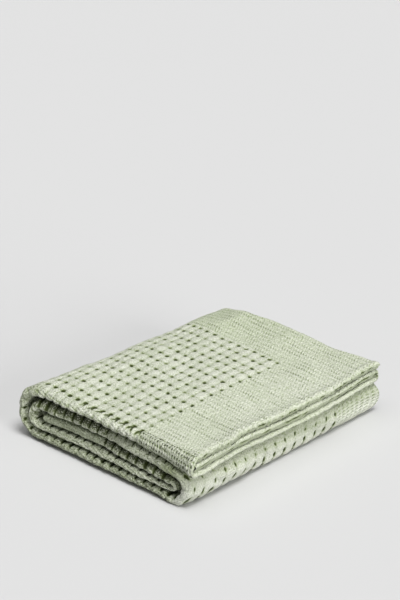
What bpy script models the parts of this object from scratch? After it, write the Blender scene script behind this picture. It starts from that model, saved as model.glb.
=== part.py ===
"""Waffle-weave cotton throw, folded in thirds like a letter and then rolled flat.

The cloth is one sheet. The letter fold makes it a band of three sheets, and the band is rolled
flat into a low stack: its five passes lie one over the other, joined by four round folds.

Axes, in metres: X runs across the band, Y along it, Z up. The band's closed letter fold faces
-X, its woven side hem faces +X, and the free end of the top pass lies at -Y. The origin is on
the surface that the stack lies on, under its middle.
"""
import math
from collections import namedtuple

import bmesh
import bpy
from mathutils import Vector

# ---- driving dimensions -------------------------------------------------------------------
SHEET = 0.0030          # thickness of the cloth, with its relief lying in its neighbours'
SPACING = 0.0048        # from one sheet of the band to the next, middle to middle
HEM_SPACING = 0.0110    # the same at the free end, where the three hems stand apart
HEM_LOOSE = 0.2600      # length over which the loose free end settles to SPACING
HEM_SHEET = 0.0060      # thickness of the turned hem at the free end
HEM_WIDTH = 0.0120      # width of that hem

LETTER_END = -0.2195    # x of the closed letter fold
LETTER_NOSE = 0.0100    # length of its tapered nose
HEM_END = 0.2110        # x of the side hem, on the outer sheet
RETURN_END = 0.2110     # x of the small fold between the inner and the middle sheet
TUCK = 0.0180           # from the closed letter fold to the hem tucked inside it

CENTRE_X = 0.0009       # where the middle of the settled stack would lie otherwise
CENTRE_Y = 0.0034

# The passes of the rolled band, from its free end to its core: height of the middle sheet,
# and the y at which the straight run starts and ends.
Pass = namedtuple("Pass", "name height start end")
PASSES = (
    Pass("top", 0.0765, -0.1850, 0.1520),
    Pass("bottom", 0.0063, 0.1520, -0.1455),
    Pass("second", 0.0540, -0.1455, 0.1490),
    Pass("fourth", 0.0215, 0.1490, -0.1270),
    Pass("core", 0.0364, -0.1270, 0.1410),
)

# Between the sheets in the middle of each fold, outermost fold first: where the band turns
# loosely they stand apart.
FOLD_SPACINGS = (0.0062, 0.0098, 0.0060, 0.0043)

# ---- unevenness of the stack --------------------------------------------------------------
SKEW = 0.066            # the ends slant this much over the band's direction
TAPER = 0.022           # the big round fold comes in by this much towards +X
END_REACH = 0.0600      # length of stack over which its closed letter folds lie unevenly
PRESSED = 0.0040        # below this height the cloth is pressed flat by its own weight
FREE = 0.0280           # above this height its unevenness is full

# Soft waves of the layers: how far they move a point, their length along x and along y, how
# much they turn with height, and where they start.
Wave = namedtuple("Wave", "axis depth along_x along_y per_height start")
WAVES = (
    Wave("z", 0.0013, 0.330, 0.410, 0.0, 0.9),
    Wave("z", 0.0007, -0.150, 0.190, 9.0, 2.3),
    Wave("x", 0.0022, 0.900, 0.260, 55.0, 0.4),
    Wave("x", 0.0011, 0.700, 0.093, 120.0, 4.1),
    Wave("y", 0.0018, 0.290, 0.900, 48.0, 1.7),
    Wave("y", 0.0009, 0.117, 0.800, 105.0, 3.2),
)

# How the passes lie, by their height at the free end: how much they rise towards the big round
# fold, and how far their closed letter folds are drawn in from the lowest one's.
Lie = namedtuple("Lie", "height rise drawn_in")
LIES = (
    Lie(0.0040, 0.0000, 0.0000),
    Lie(0.0065, 0.0004, 0.0000),
    Lie(0.0215, 0.0050, 0.0030),
    Lie(0.0364, 0.0100, 0.0120),
    Lie(0.0540, 0.0110, 0.0060),
    Lie(0.0765, 0.0085, 0.0045),
    Lie(0.1200, 0.0085, 0.0045),
)

# The free hem of the outer sheet runs in and out: how far in it lies at each x. The hems under
# it follow by the share in HEM_SHARES, middle sheet first.
HemPoint = namedtuple("HemPoint", "x inward")
HEM_LINE = (
    HemPoint(-0.210, 0.0000),
    HemPoint(-0.135, -0.0010),
    HemPoint(-0.110, 0.0060),
    HemPoint(-0.060, 0.0050),
    HemPoint(0.000, 0.0060),
    HemPoint(0.035, 0.0010),
    HemPoint(0.085, -0.0030),
    HemPoint(0.130, 0.0000),
    HemPoint(0.220, 0.0000),
)
HEM_SHARES = (0.45, 0.20)
HEM_FADE = 0.060        # length over which the wave of the hem dies out

# Fuller places of the outer sheet: how far they stand out along x and z, where, and how far they
# reach along each axis.
Fullness = namedtuple("Fullness", "name out_x out_z x y z reach_x reach_y reach_z")
FULLNESSES = (
    Fullness("side hem on the lower fold", 0.026, 0.000, 0.240, -0.170, 0.028, 0.050, 0.030, 0.020),
    Fullness("letter fold on the big fold", 0.000, 0.005, -0.215, 0.160, 0.072, 0.060, 0.035, 0.022),
)

# ---- facets -------------------------------------------------------------------------------
RUN_STEPS = (8, 5, 5, 5, 5)         # along each pass
FOLD_STEPS = (10, 9, 8, 7)          # round each fold, outermost first
SHEET_STEPS = (10, 7, 6)            # across the outer, the inner and the middle sheet
LETTER_STEPS = 6                    # round the closed letter fold
RETURN_STEPS = 4                    # round the small return fold

COTTON = (0.520, 0.560, 0.435, 1.0)


def smooth(value, low, high):
    """0 below low, 1 above high, and a soft rise between."""
    share = min(1.0, max(0.0, (value - low) / (high - low)))
    return share * share * (3.0 - 2.0 * share)


def fold_radius(index):
    """Radius of the middle sheet in the fold after pass number index."""
    return 0.5 * abs(PASSES[index].height - PASSES[index + 1].height)


def run_length(index):
    return abs(PASSES[index].end - PASSES[index].start)


def spine(along):
    """Point of the middle sheet in the Y-Z plane, the direction out of the roll there, and how
    much further apart than elsewhere the sheets are."""
    for index, this in enumerate(PASSES):
        way = 1.0 if this.end > this.start else -1.0
        run = run_length(index)
        last = index == len(PASSES) - 1
        if along <= run or last:
            return this.start + way * along, this.height, 0.0, way, 0.0
        along -= run
        radius = fold_radius(index)
        if along < math.pi * radius:
            angle = along / radius
            middle = 0.5 * (this.height + PASSES[index + 1].height)
            out_y = way * math.sin(angle)
            out_z = way * math.cos(angle)
            looser = (FOLD_SPACINGS[index] - SPACING) * math.sin(angle) ** 2
            return this.end + radius * out_y, middle + radius * out_z, out_y, out_z, looser
        along -= math.pi * radius


def letter_arc():
    """Length round the closed letter fold, by Ramanujan's rule for half an ellipse."""
    total = 3.0 * (LETTER_NOSE + SPACING)
    root = math.sqrt((3.0 * LETTER_NOSE + SPACING) * (LETTER_NOSE + 3.0 * SPACING))
    return 0.5 * math.pi * (total - root)


def letter_parts():
    """Lengths of the outer sheet, letter fold, inner sheet, return fold and middle sheet."""
    turn = LETTER_END + LETTER_NOSE
    small = 0.5 * SPACING
    outer = HEM_END - turn
    inner = RETURN_END - small - turn
    middle = RETURN_END - small - (LETTER_END + TUCK)
    return outer, letter_arc(), inner, math.pi * small, middle


def letter(across):
    """x of a point across the cloth, and its sheet: 1 is the outer, 0 the middle, -1 the inner."""
    outer, nose, inner, small, middle = letter_parts()
    turn = LETTER_END + LETTER_NOSE
    back = RETURN_END - 0.5 * SPACING
    if across <= outer:
        return HEM_END - across, 1.0
    across -= outer
    if across <= nose:
        angle = math.pi * across / nose
        return turn - LETTER_NOSE * math.sin(angle), math.cos(angle)
    across -= nose
    if across <= inner:
        return turn + across, -1.0
    across -= inner
    if across <= small:
        angle = math.pi * across / small
        return back + 0.5 * SPACING * math.sin(angle), -0.5 - 0.5 * math.cos(angle)
    across -= small
    return back - across, 0.0


def hem_inward(x, level):
    """How far in the free hem lies at x, with soft bends between the points of its line."""
    share = 1.0 if level > 0.0 else HEM_SHARES[0] + (HEM_SHARES[0] - HEM_SHARES[1]) * level
    for left, right in zip(HEM_LINE, HEM_LINE[1:]):
        if x <= right.x:
            rise = smooth(x, left.x, right.x)
            return share * (left.inward + rise * (right.inward - left.inward))
    return 0.0


def lie(height):
    """Rise and drawing-in at a height, between the rows of the table."""
    for low, high in zip(LIES, LIES[1:]):
        if height <= high.height:
            share = max(0.0, (height - low.height) / (high.height - low.height))
            rise = low.rise + share * (high.rise - low.rise)
            return rise, low.drawn_in + share * (high.drawn_in - low.drawn_in)
    return LIES[-1].rise, LIES[-1].drawn_in


def settle(x, y, z):
    """Move a point of the neat stack to where the soft cloth has settled."""
    free = smooth(z, PRESSED, FREE)
    from_letter = (x - LETTER_END) / (HEM_END - LETTER_END)
    from_hem = (y - PASSES[0].start) / (PASSES[0].end - PASSES[0].start)
    moved = {"x": 0.0, "y": 0.0, "z": 0.0}
    for wave in WAVES:
        turn = math.tau * (x / wave.along_x + y / wave.along_y) + wave.per_height * z
        moved[wave.axis] += wave.depth * free * math.sin(turn + wave.start)
    rise, drawn_in = lie(z)
    to_fold = smooth(from_hem, 0.0, 0.8)
    near_end = 1.0 - smooth(x, LETTER_END, LETTER_END + END_REACH)
    moved["z"] += rise * to_fold
    moved["x"] += drawn_in * near_end * to_fold * (1.0 - smooth(from_hem, 0.95, 1.12))
    moved["y"] -= TAPER * from_letter * from_hem
    moved["x"] -= SKEW * y
    return Vector((x + moved["x"] - CENTRE_X, y + moved["y"] - CENTRE_Y, z + moved["z"]))


def folded(across, along):
    """Place a point of the flat cloth in the folded stack."""
    x, level = letter(across)
    y, z, out_y, out_z, looser = spine(along)
    loose = 1.0 - smooth(along, 0.0, HEM_LOOSE)
    spacing = SPACING + looser + (HEM_SPACING - SPACING) * loose
    y += out_y * level * spacing
    z += out_z * level * spacing
    y += hem_inward(x, level) * (1.0 - smooth(along, 0.0, HEM_FADE))
    filled_x = 0.0
    filled_z = 0.0
    for full in FULLNESSES:
        off_x = (x - full.x) / full.reach_x
        off_y = (y - full.y) / full.reach_y
        off_z = (z - full.z) / full.reach_z
        share = max(0.0, level) * math.exp(-(off_x ** 2 + off_y ** 2 + off_z ** 2))
        filled_x += full.out_x * share
        filled_z += full.out_z * share
    return settle(x + filled_x, y, z + filled_z)


def marks(lengths, steps):
    """Distances of the grid lines over a row of stretches, each with its own step count."""
    found = [0.0]
    for length, count in zip(lengths, steps):
        start = found[-1]
        found += [start + length * (k + 1) / count for k in range(count)]
    return found


def cotton_material():
    material = bpy.data.materials.new("sage_cotton")
    material.use_nodes = True
    shader = material.node_tree.nodes["Principled BSDF"]
    shader.inputs["Base Color"].default_value = COTTON
    shader.inputs["Roughness"].default_value = 0.9
    shader.inputs["Metallic"].default_value = 0.0
    material.diffuse_color = COTTON
    return material


def build_blanket():
    """The whole throw: a flat grid is folded, and gets its thickness afterwards."""
    across = marks(letter_parts(), (SHEET_STEPS[0], LETTER_STEPS, SHEET_STEPS[1],
                                    RETURN_STEPS, SHEET_STEPS[2]))
    stretches = []
    steps = []
    for index in range(len(PASSES)):
        stretches.append(run_length(index))
        steps.append(RUN_STEPS[index])
        if index < len(PASSES) - 1:
            stretches.append(math.pi * fold_radius(index))
            steps.append(FOLD_STEPS[index])
    along = marks(stretches, steps)
    along[1:1] = [HEM_WIDTH, HEM_WIDTH + 0.004]

    columns = len(across) - 1
    rows = len(along) - 1
    cloth = bmesh.new()
    hem = []
    bmesh.ops.create_grid(cloth, x_segments=columns, y_segments=rows, size=0.5)
    for vertex in cloth.verts:
        column = round((vertex.co.x + 0.5) * columns)
        row = round((vertex.co.y + 0.5) * rows)
        vertex.co = folded(across[column], along[row])
        if along[row] <= HEM_WIDTH:
            hem.append(vertex.index)
    mesh = bpy.data.meshes.new("blanket")
    cloth.to_mesh(mesh)
    cloth.free()

    blanket = bpy.data.objects.new("blanket", mesh)
    bpy.context.scene.collection.objects.link(blanket)
    mesh.materials.append(cotton_material())
    blanket.vertex_groups.new(name="hem").add(hem, 1.0, "REPLACE")
    thickness = blanket.modifiers.new("thickness", "SOLIDIFY")
    thickness.thickness = HEM_SHEET
    thickness.thickness_vertex_group = SHEET / HEM_SHEET
    thickness.vertex_group = "hem"
    thickness.offset = 0.0
    thickness.use_even_offset = True
    mesh.shade_smooth()
    mesh.set_sharp_from_angle(angle=math.radians(60.0))
    return blanket


for leftover in list(bpy.data.objects):
    bpy.data.objects.remove(leftover, do_unlink=True)

build_blanket()
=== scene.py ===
"""Looks of a waffle-weave cotton throw, folded in thirds like a letter and rolled flat.

The cloth is drawn in the folded form of its solid, in lengths that follow one another from the
free end to the core of the roll. All lengths share one cloth and one cotton.
"""
import math
from collections import namedtuple

import bmesh
import bpy
import numpy as np
from mathutils import Matrix, Vector


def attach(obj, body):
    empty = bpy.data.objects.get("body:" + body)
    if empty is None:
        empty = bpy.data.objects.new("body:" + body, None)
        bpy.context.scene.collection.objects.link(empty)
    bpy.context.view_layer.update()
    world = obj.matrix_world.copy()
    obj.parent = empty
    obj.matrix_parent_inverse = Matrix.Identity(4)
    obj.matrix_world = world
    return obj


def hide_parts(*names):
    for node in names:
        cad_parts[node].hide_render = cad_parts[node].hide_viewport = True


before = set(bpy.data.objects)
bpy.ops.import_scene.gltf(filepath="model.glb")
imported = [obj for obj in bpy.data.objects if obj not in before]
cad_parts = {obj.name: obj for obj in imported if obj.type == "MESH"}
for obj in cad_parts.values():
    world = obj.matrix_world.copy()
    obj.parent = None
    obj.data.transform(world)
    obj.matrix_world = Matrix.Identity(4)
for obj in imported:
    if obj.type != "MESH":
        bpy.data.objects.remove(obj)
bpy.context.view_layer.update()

# ---- how the cloth is folded ----
# One cotton cloth, about 129 x 173 cm. Its outer thirds are folded in like a letter, so that the
# band has three sheets, and the band is then rolled flat in five passes with four round folds.
# "Across" is measured from the side hem and "along" from the free end, both on the flat cloth.
# If nothing else is said, a pair is where along the cloth something starts to change and where
# that is done, and four numbers are where it comes in and where it goes out.
SHEET = 0.003  # thickness of the cloth
SPACING = 0.0048  # from one sheet of the band to the next, middle to middle
HEM_SPACING = 0.0148  # the same at the free end, where the three hems stand apart
HEM_LOOSE = 0.26  # length over which the loose free end settles to SPACING

LETTER_END = -0.2195  # x of the closed letter fold
LETTER_NOSE = 0.01  # length of its tapered nose
HEM_END = 0.211  # x of the side hem, on the outer sheet
RETURN_END = 0.211  # x of the small fold between the inner and the middle sheet
TUCK = 0.008  # from the closed letter fold to the hem tucked inside it
CENTRE_X = 0.0009  # where the middle of the settled stack would lie otherwise
CENTRE_Y = 0.0034

# Each pass starts where the round fold before it ends: top, bottom, second, fourth and core.
Pass = namedtuple("Pass", "height start end")
PASSES = (
    Pass(0.0765, -0.1850, 0.1520),
    Pass(0.0063, 0.1520, -0.1455),
    Pass(0.0540, -0.1455, 0.1490),
    Pass(0.0215, 0.1490, -0.1270),
    Pass(0.0364, -0.1270, 0.1410),
)
FOLD_SPACINGS = (0.0062, 0.0098, 0.006, 0.0043)  # between the sheets in each fold's middle

SKEW = 0.066  # the ends slant this much over the band's direction
TAPER = 0.022  # the big round fold comes in by this much towards +X
END_REACH = 0.06  # length of stack over which its closed letter folds lie unevenly
LIE_COMES = (0.0, 0.8)  # from the free hem, at 0, to the big round fold, at 1
LIE_GOES = (0.95, 1.12)
PRESSED = 0.004  # below this height the cloth is pressed flat by its own weight
FREE = 0.028  # above this height its unevenness is full

Wave = namedtuple("Wave", "axis depth along_x along_y per_height start")
WAVES = (
    Wave("z", 0.0013, 0.330, 0.410, 0.0, 0.9),
    Wave("z", 0.0007, -0.150, 0.190, 9.0, 2.3),
    Wave("x", 0.0022, 0.900, 0.260, 55.0, 0.4),
    Wave("x", 0.0011, 0.700, 0.093, 120.0, 4.1),
    Wave("y", 0.0018, 0.290, 0.900, 48.0, 1.7),
    Wave("y", 0.0009, 0.117, 0.800, 105.0, 3.2),
)

# How much higher a neat sheet of this height lies, and how far in its closed letter fold is.
Lie = namedtuple("Lie", "height rise drawn_in")
LIES = (
    Lie(0.0040, 0.0000, 0.0000),
    Lie(0.0065, 0.0004, 0.0000),
    Lie(0.0215, 0.0050, 0.0030),
    Lie(0.0364, 0.0100, 0.0075),
    Lie(0.0540, 0.0110, 0.0060),
    Lie(0.0765, 0.0085, 0.0045),
)

# The free hem's line.
HemPoint = namedtuple("HemPoint", "x inward")
HEM_LINE = (
    HemPoint(-0.210, 0.0000),
    HemPoint(-0.135, -0.0010),
    HemPoint(-0.110, 0.0060),
    HemPoint(-0.060, 0.0050),
    HemPoint(0.000, 0.0060),
    HemPoint(0.035, 0.0010),
    HemPoint(0.085, -0.0030),
    HemPoint(0.130, 0.0000),
)
HEM_SHARES = (0.45, 0.2)  # how much of this line the middle and the inner sheet follow
HEM_FADE = 0.06  # and the length of cloth that does
HEM_INSET = 0.002  # the sheets under the top one end this much further in

# Rises and bulges, and where each is: "along" the cloth, at a "height", or beside an "x".
HEM_RISE = 0.0022  # the loose free end as a whole lies this much higher
TOP_RISE = 0.003  # and the middle of the top pass this much
TOP_RISE_ALONG = (0.1, 0.2)
TOP_SETTLES_ALONG = (0.3, 0.345)
SIDE_RISE = 0.0053  # and the top sheet's side hem this much
SIDE_RISE_X = (0.11, 0.205)
SIDE_LOOSE = 0.6  # share of that rise which the loose free end doesn't have
EDGE_LIFT = 0.0036  # the lowest closed letter fold's edge is off the ground by this much
EDGE_OUT = 0.0018  # and stands out by this much
EDGE_REACH = (0.004, 0.04)  # in from the closed letter fold
LIFT_ALONG = (0.4, 0.47)
LIFT_HEIGHT = (0.015, 0.03)
MIDDLE_BACK = 0.006  # the lower round fold's middle is flatter than a round by this much
MIDDLE_ALONG = (0.745, 0.76, 0.805, 0.82)
MIDDLE_HEIGHT = 0.026
MIDDLE_REACH = 0.016
FOOT = 0.0055  # its foot sags onto the ground by this much
FOOT_BACK = 0.0058  # and is pushed in by this much, and by twice as much at this x
FOOT_BACK_X = -0.12
FOOT_REACH = 0.06
FOOT_ALONG = (0.7, 0.755)
FOOT_HEIGHT = (0.004, 0.024)
FOOT_X = (0.12, 0.2)
CORNER_OUT = 0.008  # the core's fold stands out this much further at the closed letter fold
CORNER_ALONG = (1.385, 1.44, 1.475, 1.53)
CORNER_X = (-0.19, -0.11)

# At the closed letter folds the cloth fills the room over and under its edge: how much higher
# the upper side lies there, how much higher the lower side, and how far the upper one is in.
Filled = namedtuple("Filled", "along upper lower back")
FILLED = (
    Filled(0.000, 0.0000, 0.0010, 0.0000),
    Filled(0.100, 0.0000, 0.0030, 0.0000),
    Filled(0.300, 0.0000, 0.0030, 0.0000),
    Filled(0.350, 0.0000, 0.0000, 0.0000),
    Filled(0.800, 0.0000, 0.0000, 0.0000),
    Filled(0.840, 0.0045, 0.0000, 0.0010),
    Filled(1.000, 0.0060, 0.0000, 0.0035),
    Filled(1.095, 0.0060, 0.0000, 0.0035),
    Filled(1.125, 0.0000, 0.0000, 0.0000),
    Filled(1.470, 0.0000, 0.0000, 0.0000),
    Filled(1.500, 0.0035, 0.0000, 0.0020),
    Filled(1.620, 0.0030, 0.0000, 0.0010),
    Filled(1.740, 0.0000, 0.0000, 0.0000),
)

# Fuller places: the side hem on the lower fold, the letter fold on the big fold, and the cloth
# behind the pushed-in free hem.
Fullness = namedtuple("Fullness", "out_x out_z x y z reach_x reach_y reach_z")
FULLNESSES = (
    Fullness(0.026, 0.0000, 0.240, -0.170, 0.028, 0.050, 0.030, 0.020),
    Fullness(0.000, 0.0050, -0.215, 0.160, 0.072, 0.060, 0.035, 0.022),
    Fullness(0.000, 0.0042, -0.060, -0.065, 0.088, 0.050, 0.060, 0.030),
)


def smooth(value, low, high):
    """0 below low, 1 above high, and a soft rise between."""
    share = np.clip((value - low) / (high - low), 0.0, 1.0)
    return share * share * (3.0 - 2.0 * share)


def within(value, stretch):
    """1 within a stretch and 0 outside it, with soft edges."""
    return smooth(value, *stretch[:2]) * (1.0 - smooth(value, *stretch[2:]))


def bump(value, width):
    """A soft round hump, 1 at zero and almost nothing beyond twice the width."""
    return np.exp(-(value / width) ** 2)


def read(table, column, place):
    """A column of a table, read between its rows. The first column is where each row stands."""
    return np.interp(place, [row[0] for row in table], [getattr(row, column) for row in table])


def fold_radius(index):
    return 0.5 * abs(PASSES[index].height - PASSES[index + 1].height)


def pass_start(index):
    """Length of cloth from the free end to the start of a pass."""
    runs = sum(abs(p.end - p.start) for p in PASSES[:index])
    return runs + math.pi * sum(fold_radius(k) for k in range(index))


def pass_end(index):
    return pass_start(index + 1) - math.pi * fold_radius(index)


def spine(along):
    """The middle sheet in the Y-Z plane: where it is, which way is out of the roll, how much
    further apart than elsewhere the sheets are, and how much longer an outer sheet's way is."""
    y, z, out_y, out_z, looser, longer = (np.zeros_like(along) for _ in range(6))
    longer_before = 0.0
    for index, this in enumerate(PASSES):
        way = 1.0 if this.end > this.start else -1.0
        start = pass_start(index)
        run = along >= start if index else np.full_like(along, True, dtype=bool)
        y[run] = this.start + way * (along[run] - start)
        z[run] = this.height
        out_y[run] = 0.0
        out_z[run] = way
        looser[run] = 0.0
        longer[run] = longer_before
        if index == len(PASSES) - 1:
            break
        radius = fold_radius(index)
        turn_start = start + abs(this.end - this.start)
        turn = along >= turn_start
        angle = np.minimum((along[turn] - turn_start) / radius, math.pi)
        more = FOLD_SPACINGS[index] - SPACING
        out_y[turn] = way * np.sin(angle)
        out_z[turn] = way * np.cos(angle)
        y[turn] = this.end + radius * out_y[turn]
        z[turn] = 0.5 * (this.height + PASSES[index + 1].height) + radius * out_z[turn]
        looser[turn] = more * np.sin(angle) ** 2
        longer[turn] = longer_before + SPACING * angle + more * (0.5 * angle - 0.25 * np.sin(2 * angle))
        longer_before += (SPACING + 0.5 * more) * math.pi
    return y, z, out_y, out_z, looser, longer


def letter_lengths():
    """Lengths of the outer sheet, letter fold, inner sheet, return fold and middle sheet."""
    turn = LETTER_END + LETTER_NOSE
    small = 0.5 * SPACING
    # the letter fold is half an ellipse
    root = math.sqrt((3.0 * LETTER_NOSE + SPACING) * (LETTER_NOSE + 3.0 * SPACING))
    nose = 0.5 * math.pi * (3.0 * (LETTER_NOSE + SPACING) - root)
    inner = RETURN_END - small - turn
    middle = RETURN_END - small - (LETTER_END + TUCK)
    return HEM_END - turn, nose, inner, math.pi * small, middle


def letter(across):
    """x of a point across the cloth, and its sheet: 1 is the outer, 0 the middle, -1 the inner."""
    outer, nose, inner, small, _ = letter_lengths()
    turn = LETTER_END + LETTER_NOSE
    back = RETURN_END - 0.5 * SPACING
    x = HEM_END - across
    level = np.ones_like(across)
    here = across > outer
    angle = np.minimum(math.pi * (across[here] - outer) / nose, math.pi)
    x[here] = turn - LETTER_NOSE * np.sin(angle)
    level[here] = np.cos(angle)
    here = across > outer + nose
    x[here] = turn + across[here] - (outer + nose)
    here = across > outer + nose + inner
    angle = np.minimum(math.pi * (across[here] - (outer + nose + inner)) / small, math.pi)
    x[here] = back + 0.5 * SPACING * np.sin(angle)
    level[here] = -0.5 - 0.5 * np.cos(angle)
    here = across > outer + nose + inner + small
    x[here] = back - (across[here] - (outer + nose + inner + small))
    return x, level


def settled(x, y, z):
    """How far the soft cloth has moved from the neat stack, along each axis."""
    free = smooth(z, PRESSED, FREE)
    from_letter = (x - LETTER_END) / (HEM_END - LETTER_END)
    from_hem = (y - PASSES[0].start) / (PASSES[0].end - PASSES[0].start)
    moved = {"x": np.zeros_like(x), "y": np.zeros_like(x), "z": np.zeros_like(x)}
    for wave in WAVES:
        turn = math.tau * (x / wave.along_x + y / wave.along_y) + wave.per_height * z
        moved[wave.axis] += wave.depth * free * np.sin(turn + wave.start)
    to_fold = smooth(from_hem, *LIE_COMES)
    near_end = 1.0 - smooth(x, LETTER_END, LETTER_END + END_REACH)
    moved["z"] += read(LIES, "rise", z) * to_fold
    moved["x"] += read(LIES, "drawn_in", z) * near_end * to_fold * (1.0 - smooth(from_hem, *LIE_GOES))
    moved["y"] -= TAPER * from_letter * from_hem
    moved["x"] -= SKEW * y
    return moved["x"], moved["y"], moved["z"]


def hem_inward(x, level):
    """How far in the free hem lies at x, with soft bends between the points of its line."""
    share = np.where(level > 0.0, 1.0, HEM_SHARES[0] + (HEM_SHARES[0] - HEM_SHARES[1]) * level)
    inward = np.zeros_like(x)
    for left, right in zip(HEM_LINE, HEM_LINE[1:]):
        here = (x > left.x) & (x <= right.x)
        rise = smooth(x[here], left.x, right.x)
        inward[here] = left.inward + rise * (right.inward - left.inward)
    return share * inward


def risen(x, along, loose, outer_share):
    """How much higher the loose free end, the middle of the top pass and its side hem lie."""
    before_fold = 1.0 - smooth(along, *TOP_SETTLES_ALONG)
    rise = HEM_RISE * loose + TOP_RISE * smooth(along, *TOP_RISE_ALONG) * before_fold
    side = smooth(x, *SIDE_RISE_X) * outer_share
    return rise + SIDE_RISE * side * (1.0 - SIDE_LOOSE * loose) * before_fold


def fuller(x, y, z, level):
    """How far the fuller places push the outer sheet out, along X and Z."""
    out_x = np.zeros_like(x)
    out_z = np.zeros_like(x)
    for full in FULLNESSES:
        off_x = (x - full.x) / full.reach_x
        off_y = (y - full.y) / full.reach_y
        off_z = (z - full.z) / full.reach_z
        share = np.maximum(0.0, level) * np.exp(-(off_x ** 2 + off_y ** 2 + off_z ** 2))
        out_x += full.out_x * share
        out_z += full.out_z * share
    return out_x, out_z


def low_fold_back(z, along):
    """How far the flatter middle of the lower round fold is in."""
    return MIDDLE_BACK * within(along, MIDDLE_ALONG) * bump(z - MIDDLE_HEIGHT, MIDDLE_REACH)


def foot_share(x, z, along):
    """1 in the sagging foot of the lower round fold and 0 away from it."""
    low = 1.0 - smooth(z, *FOOT_HEIGHT)
    return low * smooth(along, *FOOT_ALONG) * (1.0 - smooth(x, *FOOT_X))


Folded = namedtuple("Folded", "place level moved_x moved_y longer upward back")


def folded(across, along):
    """Place points of the flat cloth's middle surface in the folded stack."""
    x, level = letter(across)
    y, z, out_y, out_z, looser, longer = spine(along)
    loose = 1.0 - smooth(along, 0.0, HEM_LOOSE)
    spacing = SPACING + looser + (HEM_SPACING - SPACING) * loose
    y = y + out_y * level * spacing
    z = z + out_z * level * spacing
    under_top = 1.0 - np.maximum(0.0, level)
    y = y + (hem_inward(x, level) + HEM_INSET * under_top) * (1.0 - smooth(along, 0.0, HEM_FADE))
    z = z + risen(x, along, loose, 1.0 - under_top)
    out_x, out_up = fuller(x, y, z, level)
    x = x + out_x
    z = z + out_up

    # the room over and under the edge of the closed letter folds
    at_edge = 1.0 - smooth(x, LETTER_END + EDGE_REACH[0], LETTER_END + EDGE_REACH[1])
    over = np.maximum(0.0, level * out_z) * at_edge
    under = np.maximum(0.0, -level * out_z) * at_edge
    z = z + over * read(FILLED, "upper", along)
    z = z + under * read(FILLED, "lower", along)
    x = x + over * read(FILLED, "back", along)

    # the lower round fold, the core's fold and the lowest edge
    back = low_fold_back(z, along)
    y = y + back
    y = y - CORNER_OUT * within(along, CORNER_ALONG) * (1.0 - smooth(x, *CORNER_X))
    foot = foot_share(x, z, along)
    z = z - FOOT * foot
    y = y + FOOT_BACK * foot * (1.0 + bump(x - FOOT_BACK_X, FOOT_REACH))
    low_edge = at_edge * (1.0 - smooth(z, *LIFT_HEIGHT)) * smooth(along, *LIFT_ALONG)
    z = z + EDGE_LIFT * low_edge
    x = x - EDGE_OUT * low_edge
    moved_x, moved_y, moved_z = settled(x, y, z)
    place = np.stack((x + moved_x - CENTRE_X, y + moved_y - CENTRE_Y, z + moved_z), axis=-1)
    return Folded(place, level, moved_x, moved_y, longer, out_z, back)


STEP = 0.0004  # the cloth's slope is taken over twice this length


def outward(across, along):
    """Unit normals of the cloth's right side, which faces out of the letter fold."""
    over = folded(across + STEP, along).place - folded(across - STEP, along).place
    on = folded(across, along + STEP).place - folded(across, along - STEP).place
    normal = np.cross(on, over)
    return normal / np.linalg.norm(normal, axis=-1, keepdims=True)


# ---- the weave ----
# A cellular waffle weave: plump pillows of loose yarn with a small pit at each corner, 18 mm
# apart along the cloth and 22 mm across it. A firm ribbed border goes round the whole cloth.
CELL_ALONG = 0.018
CELL_ACROSS = 0.02232
FIRST_PIT_ALONG = 0.1219  # from the free hem to the first row of pits
FIRST_PIT_ACROSS = 0.0982  # from the side hem to the first column of pits
LAST_PITS = 14.0  # the last column of pits before the letter fold, where the first is 0
FIELD_STARTS = (-0.3, -0.12)  # in cells from the first pits
FIELD_ENDS = 0.3  # in cells, at the far side
FIELD_STOPS = 0.004  # along the cloth, at the core's end
CLOTH_ALONG = pass_start(len(PASSES) - 1) + abs(PASSES[-1].end - PASSES[-1].start)
CLOTH_ACROSS = sum(letter_lengths())
CORE_BORDER = 0.12  # width of the border at the core's end
FAR_BORDER = 0.1  # width of the border along the tucked side hem

PILLOW = 0.0016  # height of a pillow over the creases round it
PILLOW_SQUARE = 2.2  # 1 makes a pillow a pyramid, and more makes it squarer
PILLOW_RIDGES = 0.3  # share of a pillow's height that also runs on between the pits
PUFF = 0.25  # pillows differ in height by this share
CREASE_LEVEL = -0.0008  # the creases lie this far under the plain surface
PIT = 0.0024  # depth of a pit under the creases
PIT_ACROSS = 0.0027  # half width of a pit
PIT_ALONG = 0.0033  # half length of a pit
PIT_STRAY = 0.001  # a pit lies up to this far from its place
PIT_ROUND = 1.4  # 1 gives a pit a soft edge, and more a crisper one
PIT_LEAN = (0.35, 0.6)  # radians that a pit is turned by, and how far pits differ
PIT_OPEN = (0.84, 0.44)  # how open a pit is, and how far pits differ
PIT_OPEN_LIMITS = (0.15, 1.2)

# Other pits: how open they are, and how much wider and longer than the rest.
PitShape = namedtuple("PitShape", "opening wider longer")
RIM_PITS = PitShape(1.4, 0.22, 0.15)  # the last ones before the letter fold, on the top pass
FOOT_PITS = PitShape(1.5, 0.8, 1.0)  # those low on the lower round fold
CLOSED_PITS = 0.85  # past the rim the pits are closed by this share
ROUND_NARROW = 0.36  # on the lower round fold they are narrower by this share
ROUND_LEAN = 0.35  # and differ in lean by this share only
ROUND_FULL = 0.18  # and the pillows are fuller by this share of what they lack
ROUND_LEVEL = 0.75
ROUND_STARTS = (0.7, 0.745)
ROUND_LONGER = (0.004, 0.01)  # where an outer sheet's way is longer by this much
FOOT_PITS_END = (0.768, 0.782)

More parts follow.
